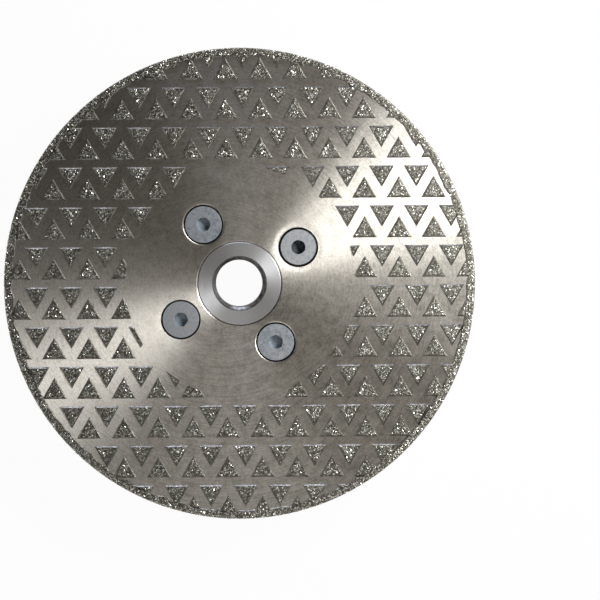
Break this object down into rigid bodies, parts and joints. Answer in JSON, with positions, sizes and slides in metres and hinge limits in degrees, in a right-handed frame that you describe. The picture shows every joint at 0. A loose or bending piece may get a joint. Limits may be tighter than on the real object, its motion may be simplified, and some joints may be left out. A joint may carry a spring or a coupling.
{
  "type": "diamond grinding wheel",
  "caption": "Round steel wheel with raised triangles of diamond plating, a plated rim, and a screwed-on aluminium flange whose threaded barrel fits an angle grinder spindle.",
  "frame": {"origin": "middle of the barrel's lower end face, on the wheel's axis, where the spindle's shoulder seats", "axes": "+Z along the wheel's axis, from the spindle side to the grinding face; +X and +Y lie in the wheel's plane, with the rows of triangles along X"},
  "size_m": [0.125, 0.125, 0.0209],
  "materials": {
    "turned_aluminium": "fine turned aluminium with concentric tool marks",
    "plated_steel": "circular-ground steel under a thin warm-grey nickel plating",
    "diamond_coat": "coarse diamond grit bonded in dark electroplated nickel",
    "zinc_steel": "bright zinc plating with a bluish cast"
  },
  "bodies": {
    "root": {"flange_hub": "turned_aluminium", "disc_blank": "plated_steel", "diamond_rim": "diamond_coat", "flange_screw_1": "zinc_steel", "flange_screw_2": "zinc_steel", "flange_screw_3": "zinc_steel", "flange_screw_4": "zinc_steel"}
  },
  "joints": []
}
